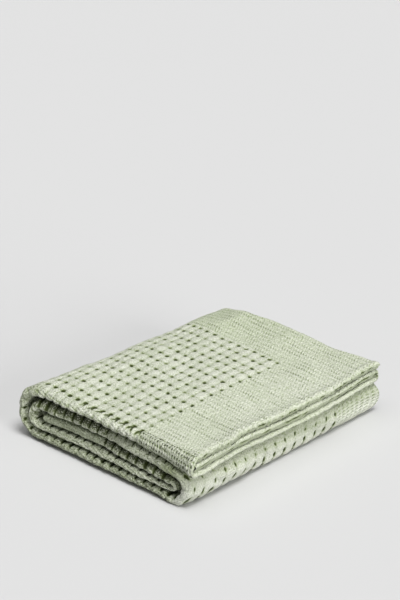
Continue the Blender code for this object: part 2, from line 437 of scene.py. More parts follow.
# Near the free end two short creases run over the rim from each of its pits.
RIM_CREASE = 0.0018  # half width
RIM_CREASE_SPREAD = 0.42  # how fast the two part
RIM_CREASE_DEPTH = 0.95  # share of a pit's depth
RIM_CREASE_OVER = (0.0, 0.003, 0.007, 0.014)  # over the rim
RIM_CREASE_ROWS = (5.5, 8.5)  # in rows from the free end
RIM_LUMP = 0.0014  # height of the lumps along the rim
RIM_LUMP_MIDDLE = -0.1  # where they are on the letter fold, in halves of the fold
RIM_LUMP_HALF = 0.6
RIM_MIDDLE = -0.35  # and where the border's slits get painted shade
RIM_HALF = 1.25
RIM_FADE = 0.4

RIB = 0.0004  # height of the border's ribs
RIB_LEVEL = 0.6  # share of it that is under the plain surface
RIB_ACROSS = 0.01  # from rib to rib
RIB_ROUND = 0.6  # below 1 the ribs are flat on top, with narrow grooves
GRAIN_ALONG = 0.0055  # from stitch to stitch along a rib
GRAIN = 0.3  # a rib is lower by this share between stitches

FACING_UP = (0.2, 0.9)  # an outer sheet faces up where its way out is this steep

# On the edge of the letter fold the upper cells stand out as one row of plump pillows, with slits
# between them, over a firm strip. "Upper" is the height over the edge's middle, on the cloth.
NOSE_SPAN = 1.9  # how far the edge reaches to each side, in halves of the fold
NOSE_FADE = 0.5
NOSE_PILLOW = 0.0068  # middle of the pillows, over the edge's middle
NOSE_HALF = 0.008  # half their length
NOSE_PLUMP = 0.004  # plump ones reach this much further down
NOSE_SQUARE = 2.6
NOSE_STRIP = -0.0018  # middle of the strip under them
NOSE_STRIP_HALF = 0.0021
STRIP_WIDER = 0.0005  # it is wider by this much in the inner passes
STRIP_WAVE = 0.0011  # the strip wanders by this much
STRIP_WAVE_ALONG = 0.013  # over this length
STRIP_BEAD = 0.0009  # and is beaded by this much in each cell
STRIP_PATCH = (0.006, 1.3)  # size of its uneven spots, across and in spots to a row
STRIP_PATCHY = 0.2  # share of the strip that they change
STRIP_PARTED = 0.45  # share of it that is missing between the pillows
PARTED = 0.75  # how far the pillows are parted from one another
PARTED_UPPER = (-0.005, 0.006)
SLIT_FINE = 0.0004  # least half width of a slit
SLIT_WIDE = 0.0014  # and how much wider it gets
SLIT_WIDER = 0.001  # near the floor
SLIT_WIDEST = 0.0025  # and in the inner passes
WIDENS_UPPER = (0.003, 0.01)
OPENS_UPPER = (0.001, 0.008)
NEAR_FLOOR_DOWN = 0.004  # pillows part and slits widen this much lower near the floor
INNER_DOWN = 0.006  # and slits open this much lower in the inner passes
UNDER_EDGE = (0.009, 0.014)  # this far under the edge's middle the cloth is even again
UNDER_EDGE_FULL = 0.55  # and this full
SLIT_DEPTH = (0.75, 0.35)  # depth of a slit, and how much deeper it is by an open pit
EDGE_STARTS = (0.335, 0.372)
SHADE_STARTS = (0.32, 0.35)
INNER_SHADE = 2.6  # how much deeper the shade over the strip is in the inner passes
INNER_SHADE_UPPER = (0.0012, 0.0036)
NEAR_FLOOR_SHADE = 0.45  # and the whole edge's near the floor
UNDER_SHADE = 3.5  # and that under the edge there
UNDER_SHADE_UPPER = (0.005, 0.0085)
UNDER_SHADE_STARTS = (-0.01, -0.004)  # from the start of the letter fold
UNDER_SHADE_ENDS = (0.0, 0.002)  # to its end
NEAR_FLOOR = (0.42, 0.45, 0.735, 0.755)
FIRM_ALONG = (0.735, 0.755, 0.8, 0.825)  # the lower round fold is firm here
FIRM = 0.9  # and this share of the pillows and slits is missing

# How full the pillows and the strip are along the letter fold's edge, and how open the slits.
Edge = namedtuple("Edge", "along pillow strip slit")
EDGES = (
    Edge(0.300, 1.00, 0.60, 1.00),
    Edge(0.350, 0.85, 0.60, 0.15),
    Edge(0.435, 0.85, 0.50, 0.15),
    Edge(0.470, 1.30, 0.15, 1.00),
    Edge(0.600, 1.50, 0.10, 1.00),
    Edge(0.745, 1.45, 0.15, 1.00),
    Edge(0.820, 1.00, 0.70, 0.90),
    Edge(0.930, 1.25, 0.90, 0.90),
    Edge(1.000, 0.50, 1.30, 1.30),
    Edge(1.114, 0.35, 1.35, 1.30),
    Edge(1.190, 0.85, 0.90, 0.75),
    Edge(1.300, 1.00, 1.10, 0.80),
    Edge(1.441, 0.80, 1.00, 0.80),
    Edge(1.470, 0.60, 1.10, 1.25),
    Edge(1.606, 0.60, 1.10, 1.25),
    Edge(1.618, 0.60, 1.00, 0.30),
)
INNER_SLITS = (1.05, 1.25)  # slits more open than this are those of the inner passes
PLUMP_FROM = (1.05, 1.4)  # and pillows fuller than this are the plump ones
RING_ALONG = (0.342, 0.352, 0.436, 0.446)  # the big round fold's edge shows rows of oval pits here
RING_PIT = 0.003  # half their size
RING_PITS = {0.5: 1.2, -0.5: 0.85}  # how deep they are on its inner and its outer side

# Handling has shifted the weave a little from one pass to the next: across the cloth at the side
# hem and at the letter fold, and along it.
Shift = namedtuple("Shift", "along at_hem at_fold slip")
SHIFTS = (
    Shift(0.337, 0.0090, 0.0090, 0.0000),
    Shift(0.392, 0.0060, -0.0060, 0.0000),
    Shift(0.447, 0.0040, -0.0080, 0.0000),
    Shift(0.745, 0.0017, -0.0080, 0.0013),
    Shift(0.777, 0.0017, -0.0175, 0.0013),
    Shift(0.797, 0.0080, -0.0100, 0.0013),
    Shift(0.820, 0.0020, -0.0133, -0.0036),
    Shift(1.114, 0.0020, -0.0133, -0.0036),
    Shift(1.190, 0.0020, -0.0080, 0.0000),
    Shift(1.441, 0.0020, -0.0080, 0.0000),
    Shift(1.480, 0.0020, -0.0133, -0.0065),
)
TOP_SLIP = 0.0031  # and on the top pass, towards the big fold
TOP_ENDS = (0.31, 0.392)
BOW = 0.004  # there the columns of pits bow by this much
BOW_ALONG = 0.165  # in the middle of the pass
BOW_REACH = 0.08
BOW_ACROSS = (0.3, 0.42)  # and near the letter fold only
BACK_ACROSS = 0.9  # shift where a fold is pushed in, as a share of how far it is in
BACK_ALONG = 0.35
EASE = 0.08  # an outer sheet's longer way counts in full this far off the letter fold
WANDER = ((0.07, 0.9), (0.05, 0.2))  # cells that a row strays, and how often in a cell

# The tables of random numbers, by what they are for.
COLUMNS, COLUMNS_WIDE, ROWS, ROWS_WIDE, PUFFS, LEANS = range(6)
OPENINGS, LUMPS, SMALL_LUMPS, TUFTS, STREAKS, STRANDS = range(6, 12)
dice = np.random.default_rng(1709)
RANDOM_SIZE = 256
RANDOM_TABLES = dice.uniform(-1.0, 1.0, (STRANDS + 1, RANDOM_SIZE, RANDOM_SIZE))


def chance(table, column, row):
    """A random number from -1 to 1 for each whole column and row."""
    return RANDOM_TABLES[table][column.astype(int) % RANDOM_SIZE, row.astype(int) % RANDOM_SIZE]


def drift(table, x, y):
    """Soft noise from -1 to 1 with one random value for each whole x and y."""
    column = np.floor(x)
    row = np.floor(y)
    right = smooth(x - column, 0.0, 1.0)
    up = smooth(y - row, 0.0, 1.0)
    low = chance(table, column, row) * (1.0 - right) + chance(table, column + 1, row) * right
    high = chance(table, column, row + 1) * (1.0 - right) + chance(table, column + 1, row + 1) * right
    return low * (1.0 - up) + high * up


def wandered(place, tables, column, row):
    """A column or row of the weave, strayed a little."""
    for table, (reach, often) in zip(tables, WANDER):
        place = place + reach * drift(table, often * column, often * row)
    return place


Spot = namedtuple("Spot", "from_side from_end column row field on_top")


def spot_in_weave(across, along, cloth):
    """Where points are in the weave, and whether they are in the waffle field."""
    outer = letter_lengths()[0]
    on_top = 1.0 - smooth(along, *TOP_ENDS)
    part = np.clip(across / outer, 0.0, 1.1)
    at_hem = read(SHIFTS, "at_hem", along)
    shift = at_hem + (read(SHIFTS, "at_fold", along) - at_hem) * part
    bow = BOW * bump(along - BOW_ALONG, BOW_REACH) * smooth(across, *BOW_ACROSS)
    shift = shift + BACK_ACROSS * cloth.back
    from_side = across - on_top * (cloth.moved_x - bow) + (1.0 - on_top) * shift
    longer = smooth(outer - across, 0.0, EASE) * cloth.longer
    slip = read(SHIFTS, "slip", along)
    from_end = along + on_top * (cloth.moved_y - TOP_SLIP) + longer + slip + BACK_ALONG * cloth.back
    column = (from_side - FIRST_PIT_ACROSS) / CELL_ACROSS
    row = (from_end - FIRST_PIT_ALONG) / CELL_ALONG
    far_column = (CLOTH_ACROSS - FAR_BORDER - FIRST_PIT_ACROSS) / CELL_ACROSS
    core_border = CLOTH_ALONG - CORE_BORDER
    field = within(column, FIELD_STARTS + (far_column, far_column + FIELD_ENDS))
    field = field * smooth(row, *FIELD_STARTS)
    field = field * (1.0 - smooth(along, core_border, core_border + FIELD_STOPS))
    column = wandered(column, (COLUMNS, COLUMNS_WIDE), column, row)
    row = wandered(row, (ROWS, ROWS_WIDE), column, row)
    return Spot(from_side, from_end, column, row, field, on_top)


Cell = namedtuple("Cell", "column row off_across off_along over on puff")


def cell_round(spot):
    """The nearest pit, the way to it, how far up the pillow a point is each way, and its puff."""
    column = np.round(spot.column)
    row = np.round(spot.row)
    off_column = spot.column - column
    off_row = spot.row - row
    over = 1.0 - (1.0 - np.abs(2.0 * off_column)) ** PILLOW_SQUARE
    on = 1.0 - (1.0 - np.abs(2.0 * off_row)) ** PILLOW_SQUARE
    puff = 1.0 + PUFF * chance(PUFFS, np.floor(spot.column), np.floor(spot.row))
    return Cell(column, row, off_column * CELL_ACROSS, off_row * CELL_ALONG, over, on, puff)


def pits(spot, cell, on_round, low_down):
    """How deep the pits are, as a share of PIT, and how open the nearest one is."""
    lean = PIT_LEAN[0] + PIT_LEAN[1] * chance(LEANS, cell.column, cell.row)
    lean = lean * (1.0 - on_round) + ROUND_LEAN * (lean - PIT_LEAN[0]) * on_round
    opening = PIT_OPEN[0] + PIT_OPEN[1] * chance(OPENINGS, cell.column, cell.row)
    opening = np.clip(opening, *PIT_OPEN_LIMITS)
    rim = (cell.column == LAST_PITS) * spot.on_top
    past_rim = (cell.column == LAST_PITS + 1.0) * spot.on_top
    opening = (opening + (RIM_PITS.opening - opening) * rim) * (1.0 - CLOSED_PITS * past_rim)
    opening = opening + (FOOT_PITS.opening - opening) * low_down
    wider = (1.0 - ROUND_NARROW * on_round) * (1.0 + RIM_PITS.wider * rim + FOOT_PITS.wider * low_down)
    longer = 1.0 + RIM_PITS.longer * rim + FOOT_PITS.longer * low_down
    x = cell.off_across - PIT_STRAY * chance(ROWS, cell.column, cell.row)
    y = cell.off_along - PIT_STRAY * chance(ROWS_WIDE, cell.column, cell.row)
    turned_x = (x * np.cos(lean) + y * np.sin(lean)) / (PIT_ACROSS * wider)
    turned_y = (y * np.cos(lean) - x * np.sin(lean)) / (PIT_ALONG * longer)
    pit = opening * np.exp(-(turned_x ** 2 + turned_y ** 2) ** PIT_ROUND) * spot.field
    return pit, opening


def rim_creases(spot, cell):
    """The creases that run over the rim of the top pass."""
    below = (spot.column - LAST_PITS) * CELL_ACROSS
    crease = bump(np.abs(cell.off_along) - RIM_CREASE_SPREAD * below, RIM_CREASE)
    crease = crease * within(below, RIM_CREASE_OVER)
    crease = crease * (1.0 - smooth(spot.row, *RIM_CREASE_ROWS))
    return RIM_CREASE_DEPTH * crease * spot.on_top * spot.field


def round_fold(across):
    """-1 where the letter fold starts, 0 in its middle and 1 where it ends."""
    outer, nose, _, _, _ = letter_lengths()
    return (across - outer - 0.5 * nose) / (0.5 * nose)


def on_edge(across):
    """1 on the letter fold's edge and 0 away from it."""
    return smooth(NOSE_SPAN - np.abs(round_fold(across)), 0.0, NOSE_FADE)


FoldEdge = namedtuple("FoldEdge", "share plump slit shade")


def letter_fold_edge(across, along, cloth, spot, cell, opening):
    """The letter fold's edge: its share, its pillows and strip, its slits and its shade."""
    outer, nose, _, _, _ = letter_lengths()
    facing_up = 2.0 * smooth(cloth.upward, *FACING_UP) - 1.0
    upper = -round_fold(across) * facing_up * 0.5 * nose
    firm = FIRM * within(along, FIRM_ALONG)
    near_floor = within(along, NEAR_FLOOR)
    share = on_edge(across) * smooth(along, *EDGE_STARTS) * (1.0 - firm)
    fullness = read(EDGES, "pillow", along)
    slits = read(EDGES, "slit", along)
    inner_pass = smooth(slits, *INNER_SLITS)

    # the pillows, which part over the strip
    further_down = NOSE_PLUMP * smooth(fullness, *PLUMP_FROM)
    reach = np.abs((upper - NOSE_PILLOW + 0.5 * further_down) / (NOSE_HALF + 0.5 * further_down))
    length = np.clip(1.0 - reach ** NOSE_SQUARE, 0.0, 1.0)
    lowered = upper + NEAR_FLOOR_DOWN * near_floor
    parted = PARTED * smooth(lowered, *PARTED_UPPER)
    pillows = fullness * length * (1.0 - parted + parted * cell.on) * cell.puff

    # the strip, which wanders and is beaded
    wave = STRIP_WAVE * drift(STREAKS, 0.0 * along, along / STRIP_WAVE_ALONG)
    strip_middle = NOSE_STRIP + (wave + STRIP_BEAD * np.cos(math.tau * spot.row))
    patch = drift(STREAKS, across / STRIP_PATCH[0], spot.row * STRIP_PATCH[1])
    patchy = 1.0 - STRIP_PATCHY + STRIP_PATCHY * patch
    strip = bump(upper - strip_middle, NOSE_STRIP_HALF + STRIP_WIDER * inner_pass) * patchy
    strip = read(EDGES, "strip", along) * strip
    strip_parted = 1.0 - STRIP_PARTED + STRIP_PARTED * cell.on
    below = UNDER_EDGE_FULL * smooth(-upper, *UNDER_EDGE)
    plump = np.maximum(pillows + strip * strip_parted, below)

    # the slits between the pillows
    wider = (SLIT_WIDE + SLIT_WIDER * near_floor) * smooth(lowered, *WIDENS_UPPER)
    wide = SLIT_FINE + np.maximum(wider, SLIT_WIDEST * inner_pass) * opening
    slit = (SLIT_DEPTH[0] + SLIT_DEPTH[1] * opening) * bump(cell.off_along, wide)
    slit = slit * smooth(upper + INNER_DOWN * inner_pass, *OPENS_UPPER) * np.minimum(slits, 1.0)
    ring = within(along, RING_ALONG)
    for side, deep in RING_PITS.items():
        oval = bump(cell.off_along, RING_PIT) * bump((round_fold(across) - side) * 0.5 * nose, RING_PIT)
        slit = np.maximum(slit, ring * deep * opening * oval)

    # its shade, deepest in the inner passes and under the edge near the floor
    shade = on_edge(across) * smooth(along, *SHADE_STARTS)
    shade = shade * (1.0 + INNER_SHADE * inner_pass * smooth(upper, *INNER_SHADE_UPPER))
    shade = shade * (1.0 - np.clip(1.5 * strip - 0.4, 0.0, 1.0)) * (1.0 - firm)
    shade = shade * (1.0 + NEAR_FLOOR_SHADE * near_floor)
    under = smooth(across - outer, *UNDER_SHADE_STARTS) * smooth(outer + nose - across, *UNDER_SHADE_ENDS)
    shade = shade + UNDER_SHADE * near_floor * smooth(-upper, *UNDER_SHADE_UPPER) * under
    return FoldEdge(share, plump, slit, shade)


Weave = namedtuple("Weave", "height pit crease waffle edge nose from_side from_end")


def weave(across, along, cloth):
    """The relief of the right side: its height, and how much pit, crease and waffle there is."""
    spot = spot_in_weave(across, along, cloth)
    cell = cell_round(spot)
    on_round = smooth(cloth.longer, *ROUND_LONGER) * smooth(along, *ROUND_STARTS)
    low_down = on_round * (1.0 - smooth(along, *FOOT_PITS_END))
    pit, opening = pits(spot, cell, on_round, low_down)
    pit = np.maximum(pit, rim_creases(spot, cell))
    ridges = PILLOW_RIDGES * 0.5 * (cell.over + cell.on)
    pillow = (ridges + (1.0 - PILLOW_RIDGES) * cell.over * cell.on) * cell.puff
    pillow = pillow + ROUND_FULL * on_round * (ROUND_LEVEL - pillow)
    fold_edge = letter_fold_edge(across, along, cloth, spot, cell, opening)
    pillow = pillow + (fold_edge.plump - pillow) * fold_edge.share
    pit = pit + (fold_edge.slit * spot.field - pit) * fold_edge.share

    rib = np.abs(np.sin(math.pi * spot.from_side / RIB_ACROSS)) ** RIB_ROUND
    grain = 1.0 - GRAIN + GRAIN * np.abs(np.cos(math.pi * spot.from_end / GRAIN_ALONG))
    border_height = RIB * (rib * grain - RIB_LEVEL)
    height = spot.field * (CREASE_LEVEL + PILLOW * pillow) + (1.0 - spot.field) * border_height
    over_rim = round_fold(across)
    rim_lumps = RIM_LUMP * (cell.on - 0.6) * spot.on_top * bump(over_rim - RIM_LUMP_MIDDLE, RIM_LUMP_HALF)
    height = height - PIT * pit + rim_lumps * (0.3 + 0.7 * spot.field)
    crease = np.clip(1.0 - pillow, 0.0, 1.0) * spot.field
    edge = smooth(RIM_HALF - np.abs(over_rim - RIM_MIDDLE), 0.0, RIM_FADE) * spot.on_top
    return Weave(height, pit, crease, spot.field, edge, fold_edge.shade, spot.from_side, spot.from_end)


# ---- the cloth, in lengths ----
# The cloth's right side with its waffle relief. The free hem and the side hem are turned under:
# the surface goes round the hem's edge and ends inside it, where nothing shows.
HEM_WIDTH = 0.012  # width of the turned hem at the free end
HEM_STEP = 0.004  # behind it the cloth gets thin again over this length
HEM_HALF = 0.0035  # half its thickness
HEM_ROOM = 0.0072  # its underside bulges down by this much behind its edge
HEM_ROOM_STARTS = (0.001, 0.006)
HEM_STITCH = 0.0105  # its stitches pull it in at this distance from one another
HEM_STITCH_STRAY = 0.6  # which differs by this share
HEM_STRAY_ACROSS = 0.03
HEM_PULL = 0.0011  # they pull it in by this much
HEM_ROUGH = 0.0016  # and its edge is uneven by this much
HEM_ROUGH_SIZE = (0.0041, 0.004)
HEM_RIPPLE = 0.0011  # and its surface by this much
HEM_RIPPLE_SIZE = (0.004, 0.0034)
SEAM = 0.0005  # depth of the line of stitches behind it
SEAM_HALF = 0.0016
SIDE_HALF = 0.0017  # half the thickness of the side hem's edge
TURNED_UNDER = 0.014  # length of cloth turned under at a hem

FINE = 0.0015  # from vertex to vertex where the weave shows
HEM_FINE = 0.0016  # the same at a turned hem
EDGE_FINE = 0.0022  # and at edges that show less
COARSE = 0.009  # and inside the stack
ROUND_FINE = 0.0012  # and round the letter fold
FINE_SIDE = 0.024  # the strip beside an edge is fine over this width
JOINS = (pass_start(1), pass_end(1), pass_start(2))  # of two lengths, on the underside
JOIN_REACH = 0.0025  # the relief fades this near to them
LOWEST = 0.0002  # nothing is lower than this

# Unevenness of the soft cloth: its height, and the size of its spots across and along.
BUMPY = ((0.0009, LUMPS, (0.045, 0.038)), (0.0004, SMALL_LUMPS, (0.016, 0.013)))
TUFT = 0.0003
EDGE_TUFT = 0.00025  # tufts are higher by this much on the letter fold's edge
TUFT_SIZE = (0.0031, 0.0036)
FOOT_TUFT = 0.0007  # and on the lower round fold
FOOT_TUFT_SIZE = (0.0062, 0.0075)
FOOT_TUFTS = (0.745, 0.76, 0.795, 0.82)
ROPE = 0.0005  # loose yarns on the letter fold's edge stand out by this much
ROPE_SLANTS = (0.4, 0.9)  # some run across and some along, and this is how they slant
ROPE_SIZES = ((0.0029, 0.0052), (0.003, 0.0058))
FLUFF_SIZE = (0.0021, 0.0027)
STREAK_SIZE = (0.0036, 0.0018)
STREAKY = 0.6
TOP_FLUFF = (0.0004, 0.0009)  # on the top pass the edge is fluffy instead
ROPES_START = (0.31, 0.345)
NOTCH_ACROSS = 0.0048  # width of the notches of painted shade under the free hems
NOTCH_LEVEL = (0.1, 0.42)
UNDER_ALONG = (0.778, 0.799, 0.84, 0.86)  # the middle of the lower round fold is in shade


def spaced(start, stretches):
    """Distances from start on, over stretches of a length and a step each."""
    found = [start]
    for length, step in stretches:
        count = max(1, round(length / step))
        last = found[-1]
        found += [last + length * (k + 1) / count for k in range(count)]
    return np.array(found)


def turned_hem(distance, half):
    """Where on the cloth a line of vertices lies, and its share of the offset to the right
    side, for a distance from the edge: a negative one goes round the hem and under it."""
    round_it = math.pi * half
    angle = np.clip(-distance / half, 0.0, math.pi)
    place = half - half * np.sin(angle)
    place = np.where(distance > 0.0, distance + half, place)
    place = np.where(distance < -round_it, half - distance - round_it, place)
    return place, np.cos(angle)


def columns_for(outer_step):
    """Lines across the cloth: the letter fold and both ends are fine, the inside is coarse."""
    outer, nose, inner, small, middle = letter_lengths()
    under = math.pi * SIDE_HALF + TURNED_UNDER
    return spaced(-under, (
        (under, HEM_FINE),
        (FINE_SIDE, FINE),
        (outer - 2.0 * FINE_SIDE - SIDE_HALF, outer_step),
        (FINE_SIDE, FINE),
        (nose, ROUND_FINE),
        (FINE_SIDE, EDGE_FINE),
        (inner - 2.0 * FINE_SIDE, COARSE),
        (FINE_SIDE, EDGE_FINE),
        (small, ROUND_FINE),
        (FINE_SIDE, EDGE_FINE),
        (middle - FINE_SIDE, COARSE),
    ))


def uneven(table, size, across, along):
    """Soft noise from -1 to 1 in spots of a size across and along."""
    return drift(table, across / size[0], along / size[1])


def tufted(across, along):
    """Tufts all over the cloth, and loose yarns on the letter fold's edge."""
    at_edge = on_edge(across)
    tufts = (TUFT + EDGE_TUFT * at_edge) * uneven(TUFTS, TUFT_SIZE, across, along)
    foot_tuft = FOOT_TUFT * within(along, FOOT_TUFTS)
    tufts = tufts + foot_tuft * uneven(TUFTS, FOOT_TUFT_SIZE, across, along)
    fluff = np.abs(uneven(STRANDS, FLUFF_SIZE, across, along))
    fluff = fluff + STREAKY * uneven(STREAKS, STREAK_SIZE, along, across)
    ropes = 1.0 - fluff
    for slant, size, one, other in zip(ROPE_SLANTS, ROPE_SIZES, (across, along), (along, across)):
        ropes = ropes - np.abs(uneven(STRANDS, size, one + slant * other, other - slant * one))
    off_top = smooth(along, *ROPES_START)
    on_top_edge = TOP_FLUFF[0] - TOP_FLUFF[1] * fluff
    return tufts + at_edge * (off_top * ROPE * ropes + (1.0 - off_top) * on_top_edge)


def placed(name, data):
    """A new object in the scene."""
    made = bpy.data.objects.new(name, data)
    bpy.context.scene.collection.objects.link(made)
    return made


Marks = namedtuple("Marks", "pit crease waffle edge nose turned under")


def cloth_length(name, columns, rows):
    """One length of the cloth, from its lines across and along, folded and with its relief."""
    grid = bmesh.new()
    bmesh.ops.create_grid(grid, x_segments=len(columns) - 1, y_segments=len(rows) - 1, size=0.5)
    mesh = bpy.data.meshes.new(name)
    grid.to_mesh(mesh)
    grid.free()
    flat = np.empty(len(mesh.vertices) * 3)
    mesh.vertices.foreach_get("co", flat)
    flat = flat.reshape(-1, 3)
    column = np.round((0.5 - flat[:, 0]) * (len(columns) - 1)).astype(int)
    row = np.round((flat[:, 1] + 0.5) * (len(rows) - 1)).astype(int)

    # the folded cloth and its relief
    across, side_share = turned_hem(columns[column], SIDE_HALF)
    along, end_share = turned_hem(rows[row], HEM_HALF)
    cloth = folded(across, along)
    relief = weave(across, along, cloth)
    hem = 1.0 - smooth(along, HEM_WIDTH, HEM_WIDTH + HEM_STEP)
    shown = np.maximum(0.0, side_share) * np.maximum(0.0, end_share)
    at_join = sum(bump(along - join, JOIN_REACH) for join in JOINS)
    height = (relief.height * (1.0 - 0.5 * hem) + tufted(across, along)) * (1.0 - at_join)
    height = height - SEAM * bump(along - HEM_WIDTH, SEAM_HALF)
    height = height + sum(high * uneven(table, size, across, along) for high, table, size in BUMPY)

    # the turned hem: thicker, bulging under its edge, rippled, rough and pulled in by its stitches
    half = 0.5 * SHEET + (HEM_HALF - 0.5 * SHEET) * hem
    normals = outward(across, along)
    under = np.clip(-end_share, 0.0, 1.0) * (normals[:, 2] > 0.0)
    bulge = HEM_ROOM * smooth(along, *HEM_ROOM_STARTS) * under
    ripple = HEM_RIPPLE * hem * uneven(TUFTS, HEM_RIPPLE_SIZE, across, rows[row])
    stray = HEM_STITCH_STRAY * drift(SMALL_LUMPS, across / HEM_STRAY_ACROSS, cloth.level)
    scallops = np.abs(np.sin(math.pi * (across / HEM_STITCH + stray)))
    other_sheet = 3.0 * cloth.level
    rough = drift(STREAKS, across / HEM_ROUGH_SIZE[0], other_sheet + rows[row] / HEM_ROUGH_SIZE[1])
    pulled = (HEM_ROUGH * rough + HEM_PULL * (1.0 - scallops) ** 2) * hem
    offset = half * side_share * end_share + height * shown - bulge + ripple
    place = cloth.place + normals * offset[:, None]
    place[:, 1] += pulled * (1.0 - 0.7 * np.maximum(0.0, end_share))
    place[:, 2] = np.maximum(place[:, 2], LOWEST)
    mesh.vertices.foreach_set("co", place.ravel())

    # where the yarn runs, and the marks for the cotton: its pits, creases, waffle and rim, and its
    # painted shade and light on the folded edges and the hems
    corners = np.empty(len(mesh.loops), dtype=np.int32)
    mesh.loops.foreach_get("vertex_index", corners)
    uv = np.stack((relief.from_side, relief.from_end), axis=-1)[corners]
    mesh.uv_layers.new(name="weave").data.foreach_set("uv", uv.ravel())
    # notches of painted shade in the gaps under the free hems
    notch = smooth(drift(OPENINGS, across / NOTCH_ACROSS, 5.0 * cloth.level), *NOTCH_LEVEL)
    marks = Marks(
        pit=relief.pit * shown + notch * under * (1.0 - under) * 3.0,
        crease=relief.crease * shown,
        waffle=relief.waffle * shown,
        edge=relief.edge * shown,
        # nose carries the painted shade of the letter fold's edges
        nose=relief.nose * shown,
        turned=(1.0 - smooth(shown, 0.3, 0.97)) * (1.0 + 0.7 * np.minimum(0.0, cloth.level)),
        # under carries painted shade under the turned hems and over the middle of the lower round fold
        under=under + 1.3 * within(along, UNDER_ALONG),
    )
    for label, values in marks._asdict().items():
        mesh.attributes.new(label, "FLOAT", "POINT").data.foreach_set("value", values)
    mesh.shade_smooth()
    return placed(name, mesh)


# ---- cotton ----
# Sage green cotton yarn, washed soft. The pillows are paler where the light yarn is loose, and thin yarn
# is a deeper green. The creases, pits, slits, folded edges and hems get painted shade, and the lower
# round fold and the hems some painted light.
PALE = (0.615, 0.63, 0.54, 1.0)
# pale fibres, and painted light on the lower round fold and the turned hems
LIGHT = (0.76, 0.775, 0.7, 1.0)
SAGE = (0.52, 0.565, 0.42, 1.0)
# painted shade on the letter fold's edges and under the hems
SHADE = (0.24, 0.285, 0.145, 1.0)
# painted shade in the creases, slits and turned hems and on the border's far side, and the deeper green
# of thin yarn
SHADE_AND_THIN_YARN = (0.25, 0.305, 0.15, 1.0)
# the darkest painted shade, in the rim's slits and under the edge near the floor
HOLLOW_SHADE = (0.09, 0.105, 0.055, 1.0)
# painted shade round the pits, and darker painted shade in them
PIT_HALO_SHADE = (0.2, 0.255, 0.085, 1.0)
PIT_SHADE = (0.036, 0.05, 0.008, 1.0)
MATT = {"Roughness": 0.95, "Specular IOR Level": 0.15, "Sheen Weight": 0.1, "Sheen Roughness": 0.6}

PATCHES_PER_M = 14.0  # how fine each unevenness of the cotton is
YARN_PER_M = 260.0
FIBRES_PER_M = 430.0
FUZZ_PER_M = 640.0
SLITS_PER_M = 115.0
SLIT_LENGTH = 0.17  # below 1 bold and faint slits lie in rows along the cloth
STRAND = 0.0042  # from yarn to yarn over a pillow
STRAND_SLANT = 300.0  # radians for each metre along the cloth
RELIEF = 0.0022  # depth of the finest relief
LOW_FOLD = (0.735, 0.835)  # where the lower round fold is, along the cloth
LOW_FOLD_LIT = 0.822  # painted light makes it paler as far as this
QUICK = 60.0  # at these places a colour comes in over a sixtieth of a metre
SHADED_BORDER = (0.36, 0.04)  # painted shade darkens the border up to here, and fades over this length


class Value:
    """A number in a shader: sums and products of values add their Math nodes."""

    def __init__(self, shader, socket):
        self.shader = shader
        self.socket = socket

    def math(self, operation, *others):
        inputs = dict(enumerate((self,) + others))
        return self.shader.add("ShaderNodeMath", 0, {"operation": operation}, inputs)

    def __add__(self, other):
        return self.math("ADD", other)

    def __sub__(self, other):
        return self.math("SUBTRACT", other)

    def __mul__(self, other):
        return self.math("MULTIPLY", other)

    def __rsub__(self, other):
        return (self * -1.0) + other

    __radd__ = __add__
    __rmul__ = __mul__

    def over(self, least):
        """What there is of it over a least value, and otherwise 0."""
        return (self - least).math("MAXIMUM", 0.0)

    def up_to(self, limit):
        return self.math("MINIMUM", limit)

    def wave(self, spacing, unevenness=0.0):
        """A cosine wave with one crest in each spacing."""
        return (self * (math.tau / spacing) + unevenness).math("COSINE")


class Shader:
    """A material's node tree."""

    def __init__(self, name, finish):
        self.material = bpy.data.materials.new(name)
        self.material.use_nodes = True
        self.nodes = self.material.node_tree.nodes
        self.links = self.material.node_tree.links
        self.surface = self.nodes["Principled BSDF"]
        for label, setting in finish.items():
            self.surface.inputs[label].default_value = setting

    def add(self, kind, output, settings=None, inputs=None):
        """One output of a new node, as a value."""
        node = self.nodes.new(kind)
        for label, setting in (settings or {}).items():
            setattr(node, label, setting)
        for key, given in (inputs or {}).items():
            self.give(node.inputs[key], given)
        return Value(self, node.outputs[output])

    def give(self, socket, given):
        if isinstance(given, Value):
            self.links.new(given.socket, socket)
        else:
            socket.default_value = given

    def mix(self, share, first, second):
        """A share of the second colour over the first. The node keeps it between 0 and 1."""
        settings = {"data_type": "RGBA"}
        return self.add("ShaderNodeMix", 2, settings, {0: share, 6: first, 7: second})

    def noise(self, place, scale, detail):
        inputs = {"Vector": place, "Scale": scale, "Detail": detail}
        return self.add("ShaderNodeTexNoise", "Fac", {}, inputs)


